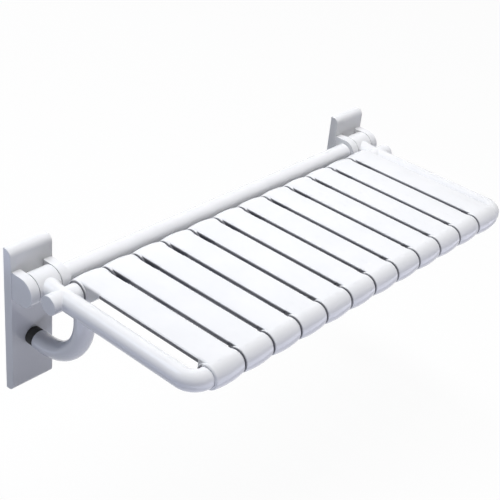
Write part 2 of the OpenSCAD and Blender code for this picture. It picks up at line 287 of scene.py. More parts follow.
@dataclass(frozen=True)
class Finish:
    """A surface finish that becomes one material.

    Attributes:
        name: Name of the material.
        slot: Slot of the record that it dresses.
    """

    name: str
    slot: Slot

    def material(self) -> bpy.types.Material:
        """Makes the material once and returns it afterwards.

        Returns:
            The material of this finish.
        """
        known = bpy.data.materials.get(self.name)
        if known is not None:
            return known
        made = bpy.data.materials.new(self.name)
        shader = Shader(made)
        surface = shader.node("ShaderNodeBsdfPrincipled", {}, self.sockets(shader))
        shader.node("ShaderNodeOutputMaterial", {}, {"Surface": shader.signal(surface, "BSDF")})
        return made

    def sockets(self, shader: Shader) -> dict:
        """Works out what feeds the surface shader.

        Args:
            shader: Node tree of the material.

        Returns:
            Values and links by the names of their sockets.
        """
        raise NotImplementedError


@dataclass(frozen=True)
class WhiteNylon(Finish):
    """Gloss white nylon, as a coat on tube or as a moulding.

    Attributes:
        light: Main colour.
        shade: Colour of its faint clouds.
        gloss: Lowest roughness.
        smearing: Roughness that smears add to it.
        ior: Refractive index.
        clouds: Waves of the clouds in a metre.
        cloud_span: Noise values at which a cloud starts and is full.
        smears: Waves of the smears in a metre.
        texture_per_metre: Waves of the fine surface texture in a metre.
        texture_height: Height of that texture.
    """

    light: Colour = (0.80, 0.80, 0.815)
    shade: Colour = (0.775, 0.778, 0.795)
    gloss: float = 0.08
    smearing: float = 0.06
    ior: float = 1.5
    clouds: float = 14.0
    cloud_span: Point = (0.35, 0.7)
    smears: float = 38.0
    texture_per_metre: float = 260.0
    texture_height: float = 0.02 * MM

    def sockets(self, shader: Shader) -> dict:
        """White with faint clouds, uneven gloss and a fine orange peel."""
        point = shader.object_point()
        clouds = shader.mask(shader.noise(point, self.clouds, 3.0), *self.cloud_span)
        smears = shader.noise(shader.stretched(point, (1.0, 0.25, 1.0)), self.smears, 3.0)
        peel = shader.noise(point, self.texture_per_metre, 1.0)
        grain = shader.noise(point, 5 * self.texture_per_metre, 1.0)
        return {
            "Base Color": shader.blend(clouds, self.light, self.shade),
            "Roughness": self.gloss + self.smearing * smears,
            "IOR": self.ior,
            "Normal": shader.bump(peel + 0.2 * grain, self.texture_height),
        }


@dataclass(frozen=True)
class SlatNylon(WhiteNylon):
    """White nylon of the slats, with painted shade on the walls of the narrow gaps beside them.

    Attributes:
        painted_shade: Colour of the painted shade that darkens the gap walls.
        pitch: Distance between the middles of neighbouring gaps.
        wall: Greatest distance of a wall with painted shade from the middle of its gap.
        side_wall: The same on the free sides of the two end slats.
        outer: Distance from the middle of the seat to the last gap's far wall.
        rear: Distance from the wall to the start of the boards.
        front: Distance from the wall to their end.
        shoulder_z: Height under which the steps between board and sleeve carry painted shade.
        steep: Share of X in the direction that a wall faces, where the painted shade starts and is
            full.
        fade: Length over which the painted shade ends along the slat and upwards.
        wall_fade: Length over which it ends across a gap.
        side_fade: The same on the free sides.
    """

    # Painted shade: a grey put into the base colour where the gaps between slats lie in shadow.
    painted_shade: Colour = (0.20, 0.20, 0.22)
    pitch: float = 62 * MM
    wall: float = 4.4 * MM
    side_wall: float = 3.4 * MM
    outer: float = 315 * MM
    rear: float = 101 * MM
    front: float = 359 * MM
    shoulder_z: float = 89 * MM
    steep: Point = (0.45, 0.9)
    fade: float = 2 * MM
    wall_fade: float = MM
    side_fade: float = 0.4 * MM

    @staticmethod
    def _below(value: Signal, limit: float, fade: float) -> Signal:
        """1 up to a limit, and 0 from a fade beyond it."""
        return 1.0 - value.shader.mask(value, limit, limit + fade)

    def sockets(self, shader: Shader) -> dict:
        """The white nylon, with painted shade darkening its base colour on the gaps' walls."""
        made = super().sockets(shader)
        point = shader.object_point()
        across = shader.along(point, "X")
        reach = 0.0 - shader.along(point, "Y")
        gap = across.to_and_fro(self.pitch / 2)
        steep = shader.mask(abs(shader.along(shader.facing(), "X")), *self.steep)
        inner = self._below(abs(across), self.outer, self.wall_fade)
        behind = self._below(reach, self.front, self.fade)
        steps = behind * shader.mask(reach, self.rear - self.fade, self.rear)
        low = self._below(shader.along(point, "Z"), self.shoulder_z, self.fade)
        between = inner * self._below(gap, self.wall, self.wall_fade)
        free = steep * behind * self._below(gap, self.side_wall, self.side_fade)
        # Share of painted shade: the gap walls, the steps under the sleeves' shoulders and the
        # free sides of the end slats.
        painted_share = (between * steep.at_least(steps * low)).at_least((1.0 - inner) * free)
        made["Base Color"] = shader.blend(painted_share, made["Base Color"], self.painted_shade)
        return made


@dataclass(frozen=True)
class PlatedSteel(Finish):
    """Zinc plated or ground steel with drawn marks.

    Attributes:
        light: Colour of the clean metal.
        dark: Colour of its dull patches.
        gloss: Lowest roughness.
        dulling: Roughness that the patches add to it.
        scoring: Roughness that the marks add to it.
        marks: Waves of the drawn marks in a metre.
        mark_depth: Depth of the marks.
        patches: Waves of the patches in a metre.
        patch_span: Noise values at which a patch starts and is full.
        drawn: Factors that stretch the marks along each axis.
    """

    light: Colour = (0.66, 0.67, 0.69)
    dark: Colour = (0.52, 0.53, 0.56)
    gloss: float = 0.28
    dulling: float = 0.14
    scoring: float = 0.08
    marks: float = 900.0
    mark_depth: float = 0.01 * MM
    patches: float = 45.0
    patch_span: Point = (0.4, 0.75)
    drawn: Place = (1.0, 1.0, 0.06)

    def sockets(self, shader: Shader) -> dict:
        """Metal with drawn marks and dull patches."""
        point = shader.object_point()
        marks = shader.noise(shader.stretched(point, self.drawn), self.marks, 3.0)
        patches = shader.mask(shader.noise(point, self.patches, 4.0), *self.patch_span)
        return {
            "Base Color": shader.blend(patches, self.light, self.dark),
            "Metallic": 1.0,
            "Roughness": self.gloss + self.dulling * patches + self.scoring * marks,
            "Normal": shader.bump(marks, self.mark_depth, 0.6),
        }


@dataclass(frozen=True)
class DarkPolymer(Finish):
    """Black rubber or grey bearing plastic.

    Attributes:
        deep: Main colour.
        bloom: Colour of the worn or dusty patches.
        gloss: Lowest roughness.
        dulling: Roughness that the patches add to it.
        ior: Refractive index, which sets how much it shines.
        patches: Waves of the patches in a metre.
        patch_span: Noise values at which a patch starts and is full.
        pebbles: Waves of the grain in a metre.
        pebble_height: Height of the grain.
    """

    deep: Colour = (0.005, 0.0055, 0.005)
    bloom: Colour = (0.012, 0.013, 0.012)
    gloss: float = 0.55
    dulling: float = 0.15
    ior: float = 1.25
    patches: float = 120.0
    patch_span: Point = (0.45, 0.7)
    pebbles: float = 2400.0
    pebble_height: float = 0.02 * MM

    def sockets(self, shader: Shader) -> dict:
        """Dark and slightly uneven, with a fine pebbled grain."""
        point = shader.object_point()
        patches = shader.mask(shader.noise(point, self.patches, 4.0), *self.patch_span)
        pebbles = shader.noise(point, self.pebbles, 1.0)
        return {
            "Base Color": shader.blend(patches, self.deep, self.bloom),
            "Roughness": self.gloss + self.dulling * patches,
            "IOR": self.ior,
            "Normal": shader.bump(pebbles, self.pebble_height, 0.7),
        }


COATED_TUBE = WhiteNylon("coated_tube", Slot.TUBE)
COATED_CASTING = WhiteNylon("coated_casting", Slot.CASTING)
MOULDED = {"gloss": 0.07, "texture_per_metre": 420.0, "texture_height": 0.01 * MM}
MOULDED_NYLON = WhiteNylon("moulded_nylon", Slot.PLASTIC, **MOULDED)
SLAT_NYLON = SlatNylon("slat_nylon", Slot.PLASTIC, **MOULDED)
ZINC_PLATE = PlatedSteel("zinc_plate", Slot.STEEL)
STAINLESS = PlatedSteel(
    "stainless_steel", Slot.STAINLESS, light=(0.72, 0.72, 0.73), dark=(0.62, 0.62, 0.63),
    gloss=0.2, drawn=(0.06, 1.0, 1.0)
)
BEARING_PLASTIC = DarkPolymer(
    "bearing_plastic", Slot.BUSH, deep=(0.05, 0.05, 0.053), bloom=(0.075, 0.075, 0.078),
    gloss=0.38
)
BLACK_RUBBER = DarkPolymer("black_rubber", Slot.RUBBER)


@dataclass
class Solid:
    """Vertices and faces of one closed surface."""

    points: np.ndarray
    faces: list[tuple[int, ...]]

    def outward(self) -> "Solid":
        """Turns the faces so that they look outward.

        Returns:
            This solid.
        """
        total = 0.0
        for face in self.faces:
            first = self.points[face[0]]
            for second, third in zip(face[1:-1], face[2:]):
                total += float(np.dot(first, np.cross(self.points[second], self.points[third])))
        if total < 0.0:
            self.faces = [tuple(reversed(face)) for face in self.faces]
        return self

    def placed(self, matrix: Matrix) -> "Solid":
        """A copy moved by a matrix."""
        turn, move = np.array(matrix.to_3x3()), np.array(matrix.translation)
        return Solid(self.points @ turn.T + move, list(self.faces)).outward()


def loft(rings: np.ndarray, closed: bool = False) -> Solid:
    """Joins rings of points into a closed surface.

    Args:
        rings: Array of stations, points and coordinates.
        closed: True if the last ring joins the first, and False for flat ends.

    Returns:
        The closed solid.
    """
    rows, columns, _ = rings.shape
    faces = []
    for row in range(rows if closed else rows - 1):
        here, after = row * columns, (row + 1) % rows * columns
        for column in range(columns):
            beside = (column + 1) % columns
            faces.append((here + column, here + beside, after + beside, after + column))
    if not closed:
        faces.append(tuple(reversed(range(columns))))
        faces.append(tuple(range((rows - 1) * columns, rows * columns)))
    return Solid(rings.reshape(-1, 3), faces).outward()


def arc(centre: Point, radius: float, start: float, end: float, steps: int) -> list[Point]:
    """Points on an arc of so many chords between two angles in degrees, both ends included."""
    angles = np.radians(np.linspace(start, end, steps + 1))
    return [(centre[0] + radius * math.cos(a), centre[1] + radius * math.sin(a)) for a in angles]


def full_turn(steps: int) -> np.ndarray:
    """Even angles round a full turn, in radians."""
    return np.linspace(0.0, 2 * math.pi, steps, endpoint=False)


def circle(radius: float, steps: int) -> list[Point]:
    """Points on a circle round the origin."""
    return [(radius * math.cos(a), radius * math.sin(a)) for a in full_turn(steps)]


def rounded(corners: Sequence[tuple[float, float, float]], steps: int = 5) -> list[Point]:
    """A closed outline with a rounding at each corner.

    Args:
        corners: Place and radius of each corner, in order.
        steps: Number of chords in each rounding.

    Returns:
        The points of the outline.
    """
    outline: list[Point] = []
    count = len(corners)
    for i, (x, y, radius) in enumerate(corners):
        here = Vector((x, y))
        if radius <= 0.0:
            outline.append((x, y))
            continue
        back = (Vector(corners[i - 1][:2]) - here).normalized()
        ahead = (Vector(corners[(i + 1) % count][:2]) - here).normalized()
        half = back.angle(ahead) / 2
        inward = (back + ahead).normalized()
        centre = here + inward * (radius / math.sin(half))
        first = here + back * (radius / math.tan(half)) - centre
        last = here + ahead * (radius / math.tan(half)) - centre
        start = math.degrees(math.atan2(first.y, first.x))
        turn = math.degrees(math.atan2(first.cross(last), first.dot(last)))
        outline += arc((centre.x, centre.y), radius, start, start + turn, steps)
    return outline


def rim(edge: float) -> list[Point]:
    """Rounding between an end face and a side.

    Args:
        edge: Its radius, which may be zero.

    Returns:
        Pairs of the inset from the side and the distance from the end face.
    """
    if edge <= 0.0:
        return [(0.0, 0.0)]
    angles = np.linspace(0.0, math.pi / 2, RIM_STEPS + 1)
    return [(edge * (1 - math.sin(a)), edge * (1 - math.cos(a))) for a in angles]


def lathe_x(profile: Sequence[Point]) -> Solid:
    """Turns a closed profile of (x, radius) points round the X axis."""
    turns = [(math.cos(a), math.sin(a)) for a in full_turn(LATHE_STEPS)]
    return loft(np.array([[(x, r * c, r * s) for x, r in profile] for c, s in turns]), closed=True)


def rod_x(low: float, high: float, radius: float, edge: float, steps: int = LATHE_STEPS) -> Solid:
    """A solid rod on the X axis, from low to high, with rounded rims."""
    return prism(lambda inset: circle(radius - inset, steps), low, high, edge)


def swept_tube(path: np.ndarray, radius: float) -> Solid:
    """A round bar along a path that lies in one plane.

    Args:
        path: Points of the path.
        radius: Radius of the bar.

    Returns:
        The bar, with flat ends.
    """
    along = np.gradient(path, axis=0)
    along /= np.linalg.norm(along, axis=1)[:, None]
    normal = np.linalg.svd(path - path.mean(axis=0))[2][2]
    beside = np.cross(along, normal)
    angles = full_turn(TUBE_STEPS)
    rings = (
        path[:, None, :]
        + radius * np.cos(angles)[None, :, None] * beside[:, None, :]
        + radius * np.sin(angles)[None, :, None] * normal[None, None, :]
    )
    return loft(rings)


def prism(outline: Outline, low: float, high: float, edge: float) -> Solid:
    """An outline in (y, z) extruded along X, with rounded rims.

    Args:
        outline: Gives the outline's points for an inset.
        low: Where it starts.
        high: Where it ends.
        edge: Rounding of both rims.

    Returns:
        The solid.
    """
    turns = rim(edge)
    stations = [(inset, low + depth) for inset, depth in turns]
    stations += [(inset, high - depth) for inset, depth in reversed(turns)]
    rings = [[(x, y, z) for y, z in outline(inset)] for inset, x in stations]
    return loft(np.array(rings))


@dataclass(frozen=True)
class WeldFillet:
    """Smooth fillet where one round tube runs square into another.

    The through tube lies along X and the other leaves it along +Y, both from the origin.

    Attributes:
        through_r: Radius of the through tube.
        branch_r: Radius of the branch at a distance from the through tube's axis.
        fillet: Radius of the fillet.
        sink: Depth to which the fillet's edges lie inside the tubes.
    """

    through_r: float
    branch_r: Callable[[float], float]
    fillet: float
    sink: float = 0.05 * MM

    def _ring(self, angle: float) -> list[Place]:
        """Cross-section of the fillet at one angle round the branch.

        Args:
            angle: The angle in radians, from the through tube's axis.

        Returns:
            The points of the hollow face, and one that closes it inside the tubes.
        """
        reach = self.through_r
        for _ in range(4):
            branch = self.branch_r(reach)
            outer = branch + self.fillet
            x, z = outer * math.cos(angle), outer * math.sin(angle)
            reach = math.sqrt(max((self.through_r + self.fillet) ** 2 - z * z, 0.0))
        share = (self.through_r - self.sink) / (self.through_r + self.fillet)
        low = np.array([x, reach * share, z * share])
        share = (branch - self.sink) / outer
        high = np.array([x * share, reach, z * share])
        centre = np.array([x, reach, z])
        first, last = low - centre, high - centre
        points = []
        for t in np.linspace(0.0, 1.0, 7):
            ray = first * (1 - t) + last * t
            points.append(centre + ray / np.linalg.norm(ray) * (self.fillet + self.sink))
        crease = (low + high) / 2 + (points[3] - centre) * 0.4
        points.append(np.array([crease[0] * 0.97, crease[1], crease[2] * 0.97]))
        return [tuple(p) for p in points]

    def solid(self) -> Solid:
        """The whole fillet round the branch."""
        angles = full_turn(TUBE_STEPS) + math.pi / TUBE_STEPS
        return loft(np.array([self._ring(a) for a in angles]), closed=True)


class Piece:
    """One visible object of the seat."""

    def __init__(self, name: str, mesh: bpy.types.Mesh) -> None:
        """Puts a mesh into the scene under the piece's name."""
        self.object = bpy.data.objects.new(name, mesh)
        bpy.context.scene.collection.objects.link(self.object)

    @classmethod
    def joined(cls, name: str, solids: Sequence[Solid]) -> "Piece":
        """Joins solids into one piece.

        Args:
            name: Name of the piece.
            solids: Its closed surfaces.

        Returns:
            The piece.
        """
        mesh = bpy.data.meshes.new(name)
        points, faces, start = [], [], 0
        for solid in solids:
            points.append(solid.points)
            faces.extend(tuple(i + start for i in face) for face in solid.faces)
            start += len(solid.points)
        mesh.from_pydata(np.concatenate(points).tolist(), [], faces)
        mesh.validate()
        return cls(name, mesh)

    def boolean(self, operation: str, solids: Sequence[Solid]) -> "Piece":
        """Adds or cuts solids exactly.

        Args:
            operation: UNION or DIFFERENCE.
            solids: What is added or cut.

        Returns:
            This piece.
        """
        for solid in solids:
            tool = Piece.joined("tool", [solid]).object
            modifier = self.object.modifiers.new("joint", "BOOLEAN")
            modifier.operation = operation
            modifier.solver = "EXACT"
            modifier.object = tool
            self._apply()
            bpy.data.meshes.remove(tool.data)
        return self

    def _apply(self) -> None:
        """Replaces the mesh by what its modifiers make of it."""
        bpy.context.view_layer.update()
        evaluated = self.object.evaluated_get(bpy.context.evaluated_depsgraph_get())
        made = bpy.data.meshes.new_from_object(evaluated)
        self.object.modifiers.clear()
        old = self.object.data
        self.object.data = made
        bpy.data.meshes.remove(old)

    def smooth(self) -> "Piece":
        """Shades the piece smooth, with flat faces kept flat and sharp edges kept sharp.

        Returns:
            This piece.
        """
        self.object.data.shade_smooth()
        self.object.data.set_sharp_from_angle(angle=SHARP_FROM)
        modifier = self.object.modifiers.new("even_normals", "WEIGHTED_NORMAL")
        modifier.keep_sharp = True
        modifier.weight = 80
        self._apply()
        return self

    def dress(self, finish: Finish, body: Body, *nodes: str) -> "Piece":
        """Gives the piece its finish, its body and the nodes that it stands for.

        Args:
            finish: Finish of the whole piece.
            body: Body that it rides on.
            *nodes: Nodes that it replaces.

        Returns:
            This piece.
        """
        self.object.data.materials.clear()
        self.object.data.materials.append(finish.material())
        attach(self.object, body.value)
        if nodes:
            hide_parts(*nodes)
        LOG.info("piece %s: %d faces", self.object.name, len(self.object.data.polygons))
        return self


def dress_node(node: str, finish: Finish) -> None:
    """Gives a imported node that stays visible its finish.

    Args:
        node: Name of the node.
        finish: Its finish.
    """
    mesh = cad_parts[node].data
    mesh.materials.clear()
    mesh.materials.append(finish.material())
    LOG.info("node %s: %s", node, finish.name)


@dataclass
class WallBracket:
    """Cover, base plate, cheeks and pin of one wall bracket.

    Attributes:
        layout: Places of the seat.
        side: End of the seat.
        depth: Depth of the cover.
        roll: Radius of its top and bottom front edges.
        wall: Wall of the cover.
        lug_r: Radius of the round lugs.
        lug_t: Thickness of each lug.
        lug_gap: Clear distance between the lugs.
        cheek_r: Radius of the pocket for a steel cheek.
        cheek_t: Width of that pocket.
        pin_r: Radius of the hole for the pin.
        hollow_r: Radius of the hollow behind the barrel.
        edge: Rounding of the cover's rims.
    """

    layout: Layout
    side: Side
    depth: float = 17 * MM
    roll: float = 12 * MM
    wall: float = 3 * MM
    lug_r: float = 25 * MM
    lug_t: float = 16.5 * MM
    lug_gap: float = 44 * MM
    cheek_r: float = 19.7 * MM
    cheek_t: float = 9.9 * MM
    pin_r: float = 7.2 * MM
    hollow_r: float = 26.2 * MM
    edge: float = 0.7 * MM

    def _shell(self, inset: float, top: float, back: float) -> list[Point]:
        """Side view of the cover or of its hollow: flat back, and rolled front edges."""
        roll, high, y, z = self.roll - inset, top - inset, self.roll - self.depth, top - self.roll
        lower = arc((y, -z), roll, 270.0, 180.0, ROLL_STEPS)
        return [(back, -high), *lower, *arc((y, z), roll, 180.0, 90.0, ROLL_STEPS), (back, high)]

    def _lug(self, radius: float, base: float) -> list[Point]:
        """Side view of a lug or of its pocket: straight from its base to a round nose."""
        y, z = self.layout.pivot_y, self.layout.pivot_z
        nose = arc((y, z), radius, 270.0, 90.0, NOSE_STEPS)
        return [(base, z - radius), *nose, (base, z + radius)]

    def _pair(self, outline: Outline, width: float, edge: float) -> list[Solid]:
        """Two prisms of one outline, in the places of the lugs."""
        mid = (self.lug_gap + self.lug_t) / 2
        return [prism(outline, x - width / 2, x + width / 2, edge) for x in (-mid, mid)]

    def build(self) -> None:
        """Makes the cover and dresses what lies behind it."""
        word, layout, over = self.side.word, self.layout, MM
        low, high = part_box(f"{word}_wall_cover")
        half, gap, base = (high.x - low.x) / 2, self.lug_gap / 2, self.wall - self.depth
        body = prism(lambda inset: self._shell(inset, high.z, 0.0), -half, half, self.edge)
        cover = Piece.joined(f"{word}_cover", [body])
        cover.boolean("UNION", self._pair(
            lambda inset: self._lug(self.lug_r - inset, base), self.lug_t, self.edge
        ))
        place, inner = layout.at(0.0, layout.pivot_y), half - self.wall
        cover.boolean("DIFFERENCE", [
            prism(lambda inset: self._shell(self.wall, high.z, over), -inner, inner, 0.0),
            *self._pair(lambda inset: self._lug(self.cheek_r, over), self.cheek_t, 0.0),
            rod_x(-2 * half, gap + self.lug_t / 2, self.pin_r, 0.0, PIN_STEPS).placed(place),
            rod_x(-gap, gap, self.hollow_r, 0.0, HOLLOW_STEPS).placed(place),
        ])
        mirror = Matrix.Scale(self.side.value, 4, (1.0, 0.0, 0.0))
        move = Matrix.Translation((self.side.value * layout.arm_x, 0.0, 0.0))
        cover.object.data.transform(move @ mirror)
        if self.side is Side.LEFT:
            cover.object.data.flip_normals()
        cover.smooth().dress(MOULDED_NYLON, Body.WALL, f"{word}_wall_cover")
        for node in ("base_plate", "hinge_cheeks"):
            dress_node(f"{word}_{node}", ZINC_PLATE)
        dress_node(f"{word}_hinge_pin", STAINLESS)


@dataclass
class BackTube:
    """Straight tube between the brackets, on the pivot axis.

    Attributes:
        layout: Places of the seat.
        edge: Rounding of its rims.
    """

    layout: Layout
    edge: float = 0.4 * MM

    def build(self) -> None:
        """Makes the tube and dresses the plugs in its ends."""
        low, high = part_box("back_tube")
        place = self.layout.at(0.0, self.layout.pivot_y)
        rod = rod_x(low.x, high.x, self.layout.tube_r, self.edge).placed(place)
        Piece.joined("back_rail", [rod]).smooth().dress(COATED_TUBE, Body.WALL, "back_tube")
        dress_node("back_tube_plugs", BEARING_PLASTIC)


@dataclass
class HingeBarrel:
    """Barrel that turns between a bracket's lugs, with its neck to the arm.

    Attributes:
        layout: Places of the seat.
        side: End of the seat.
        radius: Radius of the barrel.
        length: Length of the barrel.
        bore_r: Radius of its bore.
        neck_r: Radius of the neck at the pivot axis.
        neck_l: Distance at which the neck has come down to the tube.
        edge: Rounding of its rims.
        fillet: Radius between barrel and neck.
    """

    layout: Layout
    side: Side
    radius: float = 25 * MM
    length: float = 42 * MM
    bore_r: float = 10 * MM
    neck_r: float = 21.4 * MM
    neck_l: float = 34 * MM
    edge: float = 0.8 * MM
    fillet: float = 1.0 * MM

    def _neck_at(self, reach: float) -> float:
        """Radius of the neck at a distance from the pivot axis."""
        share = min(max(reach / self.neck_l, 0.0), 1.0)
        return self.neck_r + (self.layout.tube_r - self.neck_r) * share

    def build(self) -> None:
        """Makes the barrel and dresses its bushes."""
        half = self.length / 2
        barrel = lathe_x(rounded([
            (-half, self.bore_r, self.edge / 2), (half, self.bore_r, self.edge / 2),
            (half, self.radius, self.edge), (-half, self.radius, self.edge),
        ]))
        reach = self.layout.pivot_y - self.layout.rear_y
        stations = np.linspace(self.bore_r + self.edge, reach, 40)
        rings = [[(x, -s, z) for x, z in circle(self._neck_at(s), TUBE_STEPS)] for s in stations]
        weld = WeldFillet(self.radius, self._neck_at, self.fillet).solid()
        turned = weld.placed(Matrix.Rotation(math.pi, 4, "Z"))
        place = self.layout.at(self.side.value * self.layout.arm_x, self.layout.pivot_y)
        solids = [s.placed(place) for s in (barrel, loft(np.array(rings)), turned)]
        word = self.side.word
        Piece.joined(f"{word}_barrel", solids).smooth().dress(
            COATED_CASTING, Body.SEAT, f"{word}_hinge_barrel"
        )
        dress_node(f"{word}_hinge_bushes", BEARING_PLASTIC)


@dataclass
class SeatFrame:
    """Cross tube, bent frame tube and end caps.

    Attributes:
        layout: Places of the seat.
        corner_r: Centre line radius of the front corners.
        weld: Fillet radius where the tubes meet.
        cap_edge: Rounding of the end caps.
        seam: Width of the seam under each cap.
    """

    layout: Layout
    corner_r: float = 23.5 * MM
    weld: float = 0.5 * MM
    cap_edge: float = 0.8 * MM
    seam: float = 0.12 * MM

    def _bent_path(self) -> np.ndarray:
        """Centre line of the bent tube from one arm round the front to the other."""
        place = self.layout
        x, y = place.arm_x - self.corner_r, place.front_y + self.corner_r
        right = arc((x, y), self.corner_r, 0.0, -90.0, CORNER_STEPS)
        left = arc((-x, y), self.corner_r, -90.0, -180.0, CORNER_STEPS)
        steps = np.linspace(place.rear_y, y, 12)[:-1]
        points = [(place.arm_x, s) for s in steps] + right
        points += [(s, place.front_y) for s in np.linspace(x, -x, 20)[1:-1]]
        points += left + [(-place.arm_x, s) for s in reversed(steps)]
        return np.array([(px, py, place.pivot_z) for px, py in points])

    def build(self) -> None:
        """Makes the tubes with their welds, and the caps."""
        place = self.layout
        path = self._bent_path()
        Piece.joined("bent_frame_tube", [swept_tube(path, place.tube_r)]).smooth().dress(
            COATED_TUBE, Body.SEAT, "seat_frame_tube"
        )
        rod = rod_x(-place.cross_half, place.cross_half, place.tube_r, self.seam)
        solids = [rod.placed(place.at(0.0, place.rear_y))]
        fillet = WeldFillet(place.tube_r, lambda reach: place.tube_r, self.weld).solid()
        for side in Side:
            spot = place.at(side.value * place.arm_x, place.rear_y)
            for turn in (0.0, math.pi):
                solids.append(fillet.placed(spot @ Matrix.Rotation(turn, 4, "Z")))
        Piece.joined("cross_tube", solids).smooth().dress(
            COATED_TUBE, Body.SEAT, "rear_cross_tube"
        )
        for side in Side:
            self._cap(side)

    def _cap(self, side: Side) -> None:
        """Makes one flat end cap of the cross tube.

        Args:
            side: End of the seat.
        """
        node = f"{side.word}_end_cap"
        low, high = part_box(node)
        outer = max(abs(low.x), abs(high.x))
        inner = self.layout.cross_half
        disc = rod_x(inner - self.cap_edge, outer, self.layout.tube_r, self.cap_edge)
        spot = self.layout.at(0.0, self.layout.rear_y)
        turn = Matrix.Rotation(0.0 if side is Side.RIGHT else math.pi, 4, "Z")
        Piece.joined(f"{side.word}_cap", [disc.placed(spot @ turn)]).smooth().dress(
            MOULDED_NYLON, Body.SEAT, node
        )


@dataclass
class SupportLeg:
    """J shaped leg with its rubber buffer.

    Attributes:
        layout: Places of the seat.
        side: End of the seat.
        bend_r: Centre line radius of the bend.
        weld: Fillet radius under the arm.
        rim: Rounding of the leg's open end.
        buffer_r: Radius of the rubber.
        buffer_edge: Rounding of the rubber's rims.
    """

    layout: Layout
    side: Side
    bend_r: float = 90 * MM
    weld: float = 1.2 * MM
    rim: float = 0.6 * MM
    buffer_r: float = 15.5 * MM
    buffer_edge: float = 1.6 * MM

    def build(self) -> None:
        """Makes the leg and its buffer."""
        place, word = self.layout, self.side.word
        _, leg_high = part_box(f"{word}_support_leg")
        _, buffer_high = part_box(f"{word}_rubber_buffer")
        x = self.side.value * place.arm_x
        y, z = place.upright_y + self.bend_r, place.foot_z + self.bend_r
        bend = arc((y, z), self.bend_r, 180.0, 270.0, LEG_STEPS)
        foot = [(s, place.foot_z) for s in np.linspace(y, leg_high.y, 6)[1:]]
        points = [(place.upright_y, place.pivot_z), (place.upright_y, (place.pivot_z + z) / 2)]
        path = np.array([(x, py, pz) for py, pz in points + bend + foot])
        tube = swept_tube(path, place.tube_r)
        fillet = WeldFillet(place.tube_r, lambda reach: place.tube_r, self.weld).solid()
        turn = Matrix(((0.0, 0.0, 1.0), (1.0, 0.0, 0.0), (0.0, -1.0, 0.0))).to_4x4()
        weld = fillet.placed(place.at(x, place.upright_y) @ turn)
        Piece.joined(f"{word}_leg", [tube, weld]).smooth().dress(
            COATED_TUBE, Body.SEAT, f"{word}_support_leg"
        )
        rubber = rod_x(-buffer_high.y, -leg_high.y + self.rim, self.buffer_r, self.buffer_edge)
        spin = Matrix.Translation((x, 0.0, place.foot_z)) @ Matrix.Rotation(-math.pi / 2, 4, "Z")
        Piece.joined(f"{word}_buffer", [rubber.placed(spin)]).smooth().dress(
            BLACK_RUBBER, Body.SEAT, f"{word}_rubber_buffer"
        )


